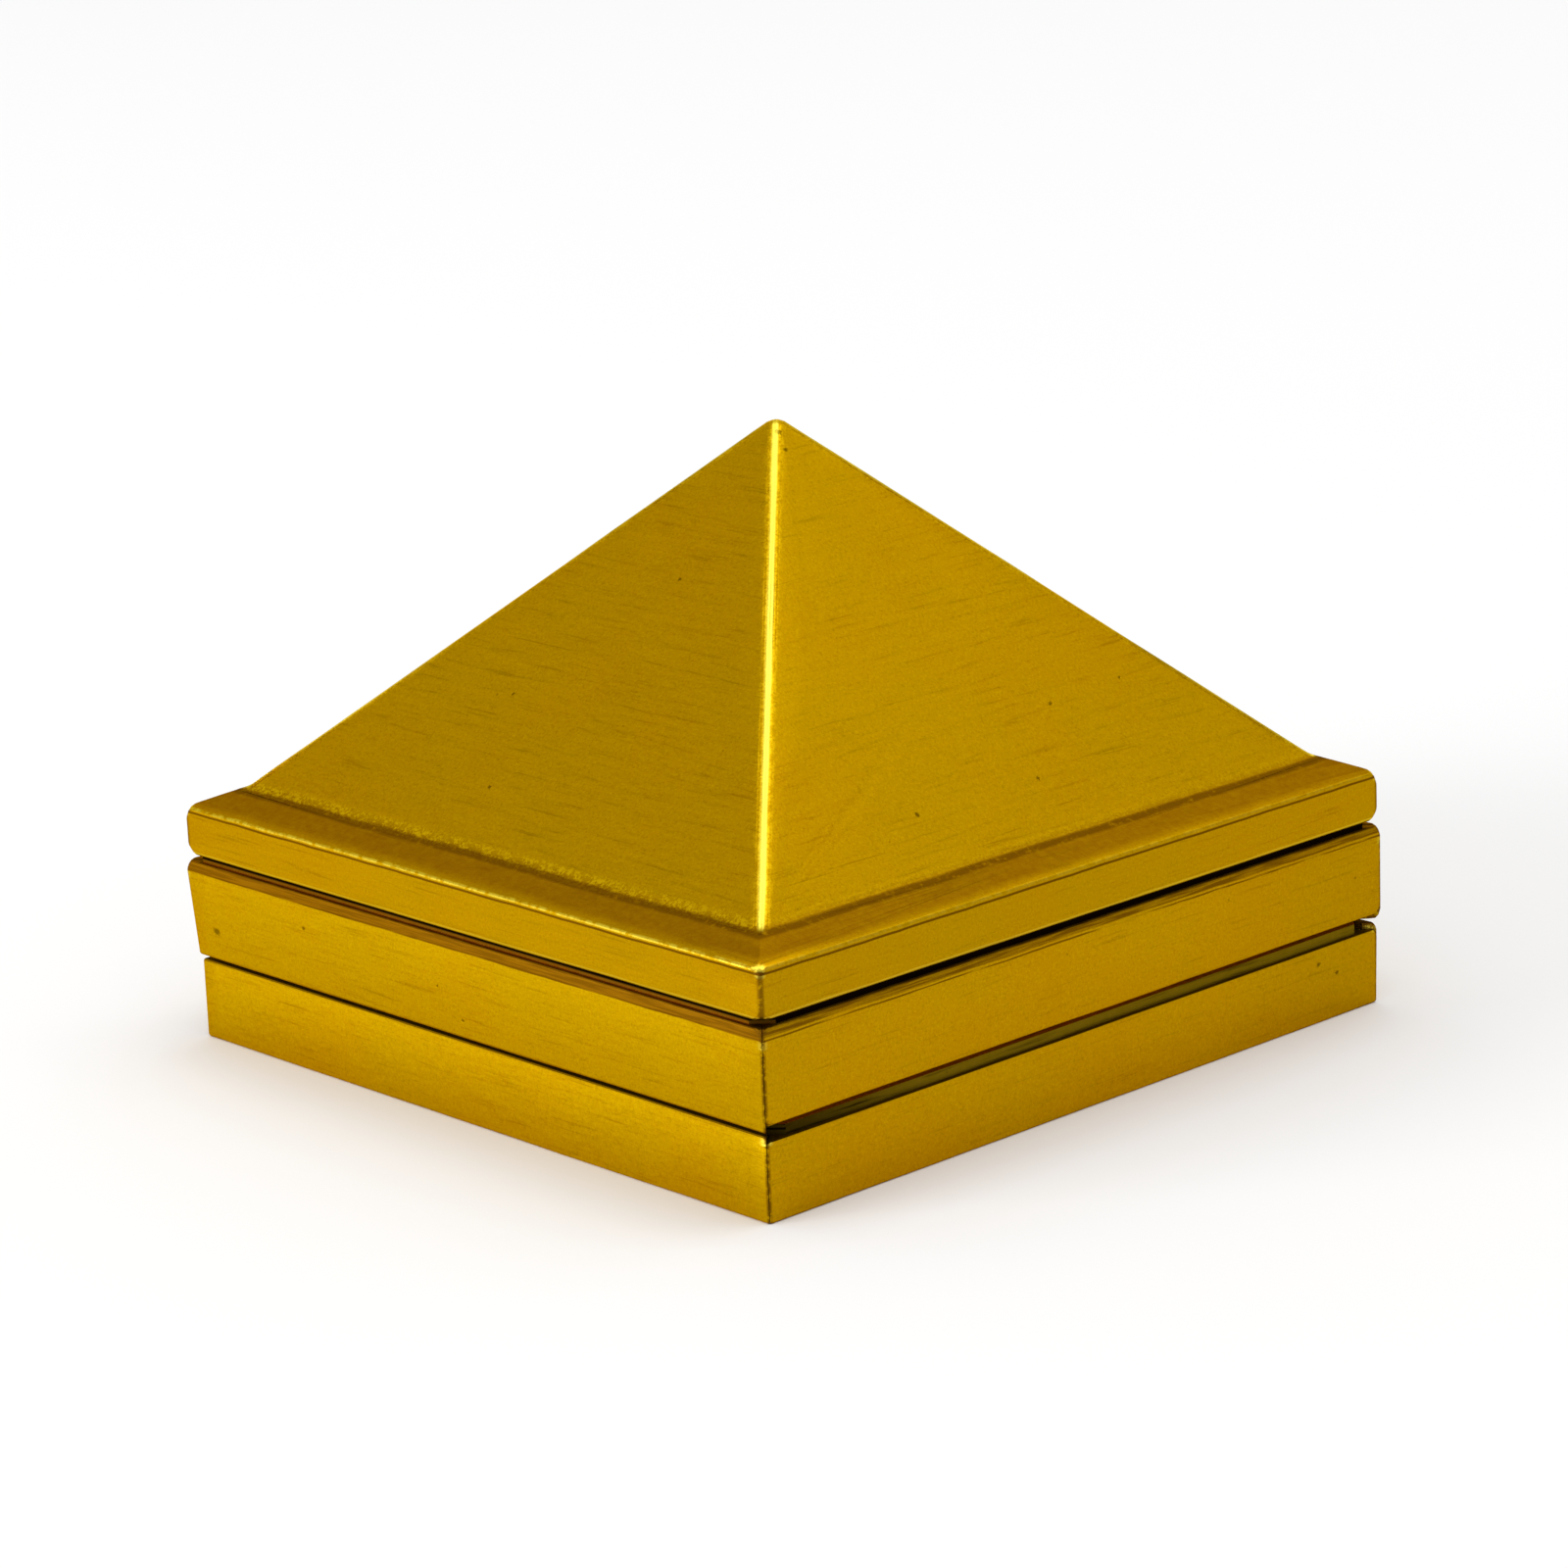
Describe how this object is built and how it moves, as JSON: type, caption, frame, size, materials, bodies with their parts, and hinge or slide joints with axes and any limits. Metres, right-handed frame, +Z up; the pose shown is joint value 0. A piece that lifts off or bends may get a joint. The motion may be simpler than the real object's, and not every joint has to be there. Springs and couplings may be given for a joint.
{
  "type": "vastu pyramid",
  "caption": "Brass vastu pyramid: a hollow pyramid cap stacked on two square frame tiers with plates of small pyramids inside.",
  "frame": {"origin": "centre of the square underside, on the surface that the part stands on", "axes": "+Z up through the apex, +X and +Y square to the sides, with the filed seam on the +X side"},
  "size_m": [0.0402, 0.0402, 0.0292],
  "materials": {
    "cap_brass": "satin brushed",
    "frame_brass": "satin brushed",
    "plate_brass": "dull, stamped and tarnished"
  },
  "bodies": {
    "base": {"base_floor_plate": "plate_brass", "base_frame_front_bar": "frame_brass", "base_frame_right_bar": "frame_brass", "base_frame_back_bar": "frame_brass", "base_frame_left_bar": "frame_brass", "eighty_one_pyramid_plate": "plate_brass"},
    "middle": {"middle_frame_front_bar": "frame_brass", "middle_frame_right_bar": "frame_brass", "middle_frame_back_bar": "frame_brass", "middle_frame_left_bar": "frame_brass", "nine_pyramid_plate": "plate_brass"},
    "cap": {"cap_shell": "cap_brass"}
  },
  "joints": [
    {"name": "middle_lift", "type": "slide", "parent": "base", "child": "middle", "axis": [0, 0, 1], "range_m": [0, 0.03]},
    {"name": "cap_lift", "type": "slide", "parent": "middle", "child": "cap", "axis": [0, 0, 1], "range_m": [0, 0.03]}
  ]
}
